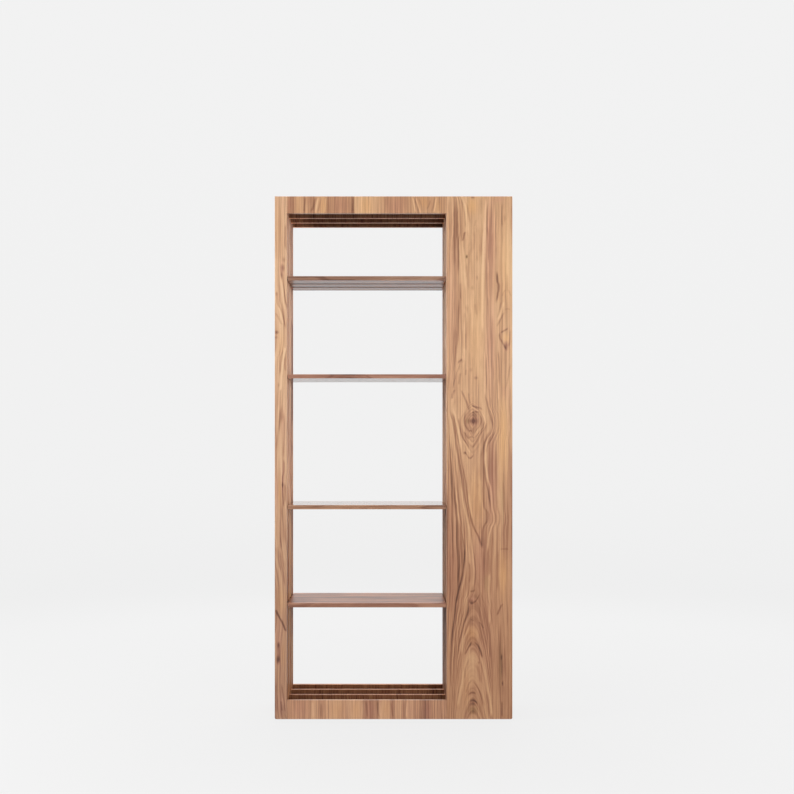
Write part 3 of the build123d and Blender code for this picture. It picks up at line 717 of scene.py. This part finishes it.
def mat_rail(name, bands, lines, gold, pink, seed=0.0, low=1.0):
    """Cross rail with upright grain: bands of pale and dark wood side by side."""
    m = bpy.data.materials.new(name)
    t = Tree(m)
    x, y, z, u, v = front_units(t)
    wob = (t.noise3(u * 0.25 + seed, v * 0.05, seed + 2.0, detail=2.0) - 0.5)
    uu = t.fma(wob, 1.2, u)
    uv = t.vec(uu, v, 0.0)
    val = t.curve(uu, bands) + t.remap(uu, 300.0, 380.0, 0.11, 0.02) * (1.0 - t.smooth(v, 400.0, 500.0))
    n = t.noise3(uu * 0.62 + seed, v * 0.010, seed, detail=2.5, rough=0.65)
    val = t.fma(t.smooth(n, 0.34, 0.68) - 0.45, 0.26, val)
    val = t.lines(uu, v, lines, val)
    fibre, streak, pores, mottle = grain_layers(t, x, y, z, 71.0 + seed)
    col = wood_colour(t, val, fibre, streak, pores, mottle, amount=0.75)
    col = tint(t, col, t.spots(uv, pink).clamp(), (0.97, 0.90, 0.97))
    col = tint(t, col, t.spots(uv, gold).clamp(), (1.03, 0.97, 0.82))
    col = tint(t, col, t.smooth(v, 400.0, 500.0), (1.04, 1.06, 1.12))
    # painted shade towards the floor, together with the wood's own redder tone; low sets how strong it is
    col = low_shade_and_tone(t, col, v, low)
    finish_wood(t, col, fibre, pores)
    return m


def mat_board(name, along, seed, pith=(0.0, 60.0), swing=40.0, light_shade_mult=None, rough=0.34, darken_low=True, shift=0.0, spec=0.5,
              bump=0.22, flat=None, wall_light_shade=None, fine=0.0,
              ahead=False, contrast=1.0, left_end_light=None, wavy=0.0):
    """Any other board: growth rings as distance from a wandering pith line, cut lengthwise.
    along is the axis of the grain; a and b are the other two."""
    m = bpy.data.materials.new(name)
    t = Tree(m)
    c = t.coords()
    h = c[along]
    a, b = [c[i] for i in range(3) if i != along]
    wander = (t.noise1(h * 0.0016 + seed, detail=1.5) - 0.5) * swing * 2.0
    depth = (t.noise1(h * 0.0021 + seed * 3.1, detail=1.5) - 0.3) * min(abs(pith[1]), 60.0) * 0.5
    wob = (t.noise3(a * 0.03, b * 0.03, h * 0.006 + seed, detail=2.0) - 0.5) * 14.0
    da = a - pith[0] + wander + wob
    db = b + depth + pith[1]
    f = (da * da + db * db * 0.8).sqrt()
    n_fine = t.noise1(f * 0.16 + seed, detail=2.5, rough=0.62)
    n_wide = t.noise1(f * 0.03 + seed * 2.0, detail=1.0)
    val = (t.smooth(n_fine, 0.44, 0.70) * 0.34 + t.smooth(n_wide, 0.36, 0.70) * 0.22 - 0.28) * contrast + (0.54 + shift)
    if wavy:
        broad = t.noise3(a * 0.022 + seed, h * 0.0030, seed + 3.0, detail=3.0, rough=0.6, distortion=0.4)
        val = t.fma((t.smooth(broad, 0.36, 0.64) - 0.5) * t.smooth(t.normal()[2].abs(), 0.5, 0.8), wavy, val)
    if fine:
        val = t.fma(t.smooth(t.noise3(a * 0.16 + seed, b * 0.16, h * 0.0012, detail=2.0), 0.40, 0.62) - 0.5, fine, val)
    fibre, streak, pores, mottle = grain_layers(t, a, b, h, seed)
    col = wood_colour(t, val, fibre, streak, pores, mottle, amount=0.75)
    # darker and redder towards the floor: partly painted shade, partly the wood's own tone
    if darken_low:
        v = t.fma(c[2], -1.0 / 3.823, 2000.0 / 3.823 + 196.5)
        col = low_shade_and_tone(t, col, v)
    # painted light high up and painted shade low down on the walls seen through the opening
    if wall_light_shade:
        col = inner_light_and_shade(t, col, v, wall_light_shade[0], wall_light_shade[1], ahead=True)
    # painted light and shade: the multiplier darkens the rails' front faces in the hollows between the frames, where
    # shade falls, or makes each shelf's edges lighter or darker; flat lightens or darkens the level faces in the same
    # way
    if light_shade_mult is not None and flat is not None:
        nx, ny, nz = t.normal()
        col = tint(t, col, t.smooth(-ny, 0.5, 0.8) if ahead else t.smooth(nz.abs(), 0.8, 0.5), light_shade_mult)
        col = tint(t, col, t.smooth(nz.abs(), 0.5, 0.8), flat)
        if left_end_light is not None:
            # painted light on the left ends of the top rails, where light through the opening falls
            col = tint(t, col, t.smooth(c[0], -300.0, -400.0) * t.smooth(nz.abs().max(-ny), 0.5, 0.8), left_end_light)
    elif light_shade_mult is not None:
        # painted light: the uprights seen through the opening are made cooler, the right panels also lighter
        col = tint(t, col, 1.0, light_shade_mult)
    finish_wood(t, col, fibre, pores, rough=rough, spec=spec, bump=bump)
    return m


def mat_metal(name):
    m = bpy.data.materials.new(name)
    t = Tree(m)
    x, y, z = t.coords()
    n = t.noise3(x * 1.5, y * 9.0, z * 9.0, detail=2.0)
    bs = t.n.new("ShaderNodeBsdfPrincipled")
    out = t.n.new("ShaderNodeOutputMaterial")
    t.nt.links.new(bs.outputs[0], out.inputs[0])
    bs.inputs["Metallic"].default_value = 1.0
    t.put(bs.inputs["Base Color"], t.mixc(n, lin(150, 146, 140), lin(196, 193, 188)))
    t.put(bs.inputs["Roughness"], n * 0.2 + 0.22)
    return m


def mat_dull(name, a, b, scale=0.8, rough=0.6):
    m = bpy.data.materials.new(name)
    t = Tree(m)
    x, y, z = t.coords()
    n = t.noise3(x * scale, y * scale, z * scale, detail=3.0)
    bs = t.n.new("ShaderNodeBsdfPrincipled")
    out = t.n.new("ShaderNodeOutputMaterial")
    t.nt.links.new(bs.outputs[0], out.inputs[0])
    t.put(bs.inputs["Base Color"], t.mixc(n, lin(*a), lin(*b)))
    t.put(bs.inputs["Roughness"], n * 0.15 + (rough - 0.07))
    bp = t.n.new("ShaderNodeBump")
    bp.inputs["Strength"].default_value = 0.2
    bp.inputs["Distance"].default_value = 0.0003
    t.put(bp.inputs["Height"], n)
    t.nt.links.new(bp.outputs[0], bs.inputs["Normal"])
    return m


def use(node, mat):
    o = NODES[node]
    if not o.data.materials:
        o.data.materials.append(mat)
    for s in o.material_slots:
        s.material = mat


use("front_right_panel", mat_panel("walnut_front_panel"))
use("front_left_stile", mat_stile("walnut_front_stile"))
use("front_top_rail", mat_rail("walnut_front_top_rail", TOP_BANDS, TOP_LINES, TOP_GOLD, TOP_PINK, seed=0.0))
use("front_bottom_rail", mat_rail("walnut_front_bottom_rail", LOW_BANDS, LOW_LINES, LOW_GOLD, LOW_PINK, seed=5.0, low=0.55))

# the uprights of the ribs and the back, as seen through the opening: painted light high up and painted shade low down
WALL_LIGHT_AND_SHADE = {"left_stile": ((1.10, 1.20, 1.48), (0.73, 0.71, 0.66)), "right_panel": ((1.27, 1.52, 1.88), (0.70, 0.73, 0.85))}
# painted light at the left ends of the rails at the top, where light coming in through the opening from the right falls
LEFT_END_LIGHT = {("front_rib", "top_rail"): (1.5, 1.5, 1.5), ("rear_rib", "top_rail"): (1.9, 1.9, 1.9), ("back", "top_rail"): (2.1, 2.25, 2.35)}
seed = 3.0
for fr in ("front_rib", "rear_rib", "back"):
    # the multipliers paint light and shade: a little lighter and cooler on the uprights, much darker on the rails'
    # front faces in the hollows; flat lightens the rails' level edges
    for piece, pith, light_shade_mult, flat, shift in (("left_stile", (-430.0, 40.0), (1.0, 1.0, 1.03), None, -0.06),
                                           ("right_panel", (330.0, 50.0), (1.08, 1.10, 1.16), None, -0.10),
                                           ("top_rail", (-90.0, 60.0), (0.24, 0.195, 0.175), (1.3, 1.15, 1.05), 0.0),
                                           ("bottom_rail", (-130.0, 60.0), (0.34, 0.295, 0.27), (1.15, 0.98, 0.90), 0.0)):
        upright = flat is None
        use(f"{fr}_{piece}", mat_board(f"walnut_{fr}_{piece}", 2, seed, pith=pith, light_shade_mult=light_shade_mult, flat=flat, shift=shift,
                                       wall_light_shade=WALL_LIGHT_AND_SHADE.get(piece), rough=0.34 if upright else 0.42, spec=0.5 if upright else 0.30,
                                       fine=0.34 if upright else 0.16, ahead=not upright,
                                       left_end_light=LEFT_END_LIGHT.get((fr, piece))))
        seed += 5.3
use("left_side_board", mat_board("walnut_left_side", 2, 61.0, pith=(-395.0, 14.0), swing=22.0, shift=-0.06))
use("right_side_board", mat_board("walnut_right_side", 2, 67.0, pith=(392.0, -18.0), swing=24.0, shift=-0.06))
use("top_board", mat_board("walnut_top_board", 0, 73.0, pith=(0.0, -1945.0), swing=24.0))
use("bottom_board", mat_board("walnut_bottom_board", 0, 79.0, pith=(0.0, 40.0), swing=24.0))
SHELF_Z = {1: 1695.0, 2: 1320.0, 3: 820.0, 4: 445.0}
# the shelves' lacquer differs a little from board to board in roughness and gloss, and each shelf has its own
# multipliers for edges and level faces: painted light and shade that make some shelves lighter and others darker as
# they sit in the light
for i, light_shade_mult, flat, rough, spec in ((1, (0.75, 0.82, 0.98), (1.0, 0.86, 0.84), 0.25, 0.32),
                                   (2, (1.06, 1.09, 1.34), (0.9, 0.84, 0.88), 0.08, 0.57),
                                   (3, (1.2, 1.40, 1.60), (1.1, 1.1, 1.12), 0.07, 0.50),
                                   (4, (0.94, 1.02, 1.22), (1.22, 1.15, 1.18), 0.30, 0.26)):
    use(f"shelf_{i}", mat_board(f"walnut_shelf_{i}", 0, 90.0 + 7.7 * i, pith=(9.0 * i - 22.0, 52.0 - SHELF_Z[i]), swing=22.0,
                                shift=0.22, light_shade_mult=light_shade_mult, flat=flat, rough=rough, spec=spec, bump=0.10,
                                contrast=0.6, wavy=0.34))
metal = mat_metal("steel_pin")
for i in range(1, 5):
    for s in ("left", "right"):
        use(f"shelf_{i}_{s}_pins", metal)
beech = mat_dull("beech_dowel", (205, 165, 120), (222, 188, 146))
for n in NODES:
    if n.endswith("dowels"):
        use(n, beech)
use("glides", mat_dull("nylon_glide", (34, 31, 29), (46, 42, 39)))

# ------------------------------------------------------------------ stage: one pale sweep
def sweep():
    pts = [(-9.0, 0.0)]
    r = 2.2
    y_wall = 6.0
    for k in range(0, 25):
        a = k / 24 * math.pi / 2
        pts.append((y_wall - r + r * math.sin(a), r - r * math.cos(a)))
    pts.append((y_wall, 9.0))
    me = bpy.data.meshes.new("studio_sweep")
    vs, fs = [], []
    for (yy, zz) in pts:
        vs += [(-9.0, yy, zz - 0.0005), (9.0, yy, zz - 0.0005)]
    for k in range(len(pts) - 1):
        fs.append((2 * k, 2 * k + 1, 2 * k + 3, 2 * k + 2))
    me.from_pydata(vs, [], fs)
    for p in me.polygons:
        p.use_smooth = True
    o = bpy.data.objects.new("studio_sweep", me)
    scene.collection.objects.link(o)
    m = bpy.data.materials.new("studio_paper")
    t = Tree(m)
    out = t.n.new("ShaderNodeOutputMaterial")
    em = t.n.new("ShaderNodeEmission")
    em.inputs["Color"].default_value = (1.0, 1.0, 1.0, 1)
    sx, sy, sz = t.coords()
    paper = t.remap(sz, 0.0, 700.0, 0.807, 0.822, smooth=False) + t.remap(sz, 700.0, 5000.0, 0.0, 0.010, smooth=False)
    t.put(em.inputs["Strength"], paper + t.remap((sx * sx + sy * sy).sqrt(), 1000.0, 5200.0, 0.0, 0.056, smooth=False))
    df = t.n.new("ShaderNodeBsdfDiffuse")
    near = t.remap((sx * sx + sy * sy).sqrt(), 2500.0, 5200.0, 0.05, 0.0)
    t.put(df.inputs["Color"], t.vec(near, near, near))
    ad = t.n.new("ShaderNodeAddShader")
    t.nt.links.new(em.outputs[0], ad.inputs[0])
    t.nt.links.new(df.outputs[0], ad.inputs[1])
    t.nt.links.new(ad.outputs[0], out.inputs[0])
    me.materials.append(m)
    o.visible_diffuse = False


sweep()


def round_wall():
    """The pale paper carried on round the other sides, well outside the sweep."""
    prof = [(8.6, -0.004), (10.0, -0.004)]
    for k in range(1, 13):
        a = k / 12 * math.pi / 2
        prof.append((10.0 + 2.2 * math.sin(a), 2.2 - 2.2 * math.cos(a) - 0.004))
    prof += [(12.2, 9.0), (11.0, 13.0), (7.0, 15.5), (0.01, 16.5)]
    n = 72
    vs = [(r * math.cos(2 * math.pi * k / n), r * math.sin(2 * math.pi * k / n), z) for r, z in prof for k in range(n)]
    fs = [(i * n + k, i * n + (k + 1) % n, (i + 1) * n + (k + 1) % n, (i + 1) * n + k)
          for i in range(len(prof) - 1) for k in range(n)]
    me = bpy.data.meshes.new("studio_wall")
    me.from_pydata(vs, [], fs)
    for p in me.polygons:
        p.use_smooth = True
    o = bpy.data.objects.new("studio_wall", me)
    scene.collection.objects.link(o)
    m = bpy.data.materials.new("studio_wall_paper")
    t = Tree(m)
    out = t.n.new("ShaderNodeOutputMaterial")
    em = t.n.new("ShaderNodeEmission")
    em.inputs["Color"].default_value = (1.0, 1.0, 1.0, 1)
    sx, sy, sz = t.coords()
    t.put(em.inputs["Strength"], t.remap(sz, 0.0, 2500.0, 0.862, 0.876, smooth=False))
    t.nt.links.new(em.outputs[0], out.inputs[0])
    me.materials.append(m)
    o.visible_diffuse = False
    o.visible_glossy = False
    o.visible_shadow = False


round_wall()


def area(name, loc, target, size, power, colour=(1, 1, 1), shine=True):
    d = bpy.data.lights.new(name, "AREA")
    d.shape = "RECTANGLE"
    d.size, d.size_y = size
    d.energy = power
    d.color = colour
    o = bpy.data.objects.new(name, d)
    scene.collection.objects.link(o)
    o.location = loc
    o.visible_camera = False
    o.visible_glossy = shine
    o.rotation_mode = "QUATERNION"
    o.rotation_quaternion = (Vector(target) - Vector(loc)).to_track_quat("-Z", "Y")
    return o


POWER = {"fill": 30.0, "right": 28.0, "left": 64.0, "front": 177.0, "top": 80.0, "back": 60.0}
SKY = {"front": 0.17, "behind": 0.95, "below": 0.04}
area("fill", (-2.6, -4.6, 3.0), (0.0, 0.0, 1.2), (2.6, 2.0), POWER["fill"], shine=False)
area("right", (2.8, -0.9, 1.45), (-0.1, 0.1, 1.2), (1.2, 2.2), POWER["right"])
area("left", (-2.8, -1.0, 1.6), (0.0, 0.1, 1.3), (1.2, 2.0), POWER["left"])
area("front", (1.5, -6.0, 1.35), (0.0, 0.0, 1.1), (2.6, 2.2), POWER["front"], (1.0, 0.985, 0.965), shine=False)
area("top", (0.0, 0.4, 4.6), (0.0, 0.0, 1.0), (2.4, 2.4), POWER["top"])
area("back", (0.0, 3.4, 3.4), (0.0, 0.0, 0.6), (2.6, 1.4), POWER["back"], shine=False)

w = bpy.data.worlds.new("studio")
scene.world = w
w.use_nodes = True
wt = w.node_tree
bg = wt.nodes["Background"]
bg.inputs[0].default_value = (1.0, 1.0, 1.0, 1)
tc = wt.nodes.new("ShaderNodeTexCoord")
sp = wt.nodes.new("ShaderNodeSeparateXYZ")
wt.links.new(tc.outputs["Generated"], sp.inputs[0])


def sky(sock, a, b, lo_, hi_):
    nd = wt.nodes.new("ShaderNodeMapRange")
    nd.interpolation_type = "SMOOTHSTEP"
    for k, val in (("From Min", a), ("From Max", b)):
        nd.inputs[k].default_value = val
    for k, val in (("To Min", lo_), ("To Max", hi_)):
        if isinstance(val, bpy.types.NodeSocket):
            wt.links.new(val, nd.inputs[k])
        else:
            nd.inputs[k].default_value = val
    wt.links.new(sock, nd.inputs["Value"])
    return nd.outputs[0]


sides = sky(sp.outputs[1], -0.25, 0.25, SKY["front"], SKY["behind"])
wt.links.new(sky(sp.outputs[2], -0.30, 0.15, SKY["below"], sides), bg.inputs[1])

cam_d = bpy.data.cameras.new("camera")
cam_d.sensor_width = 36.0
cam_d.sensor_fit = "HORIZONTAL"
cam_d.lens = 57.4
cam_d.shift_x = 0.0176
cam_d.shift_y = 0.0554
cam_d.dof.use_dof = False
cam = bpy.data.objects.new("camera", cam_d)
scene.collection.objects.link(cam)
cam.location = (-0.0403, -5.003, 1.065)
cam.rotation_euler = (math.radians(90.0), 0.0, 0.0)
scene.camera = cam
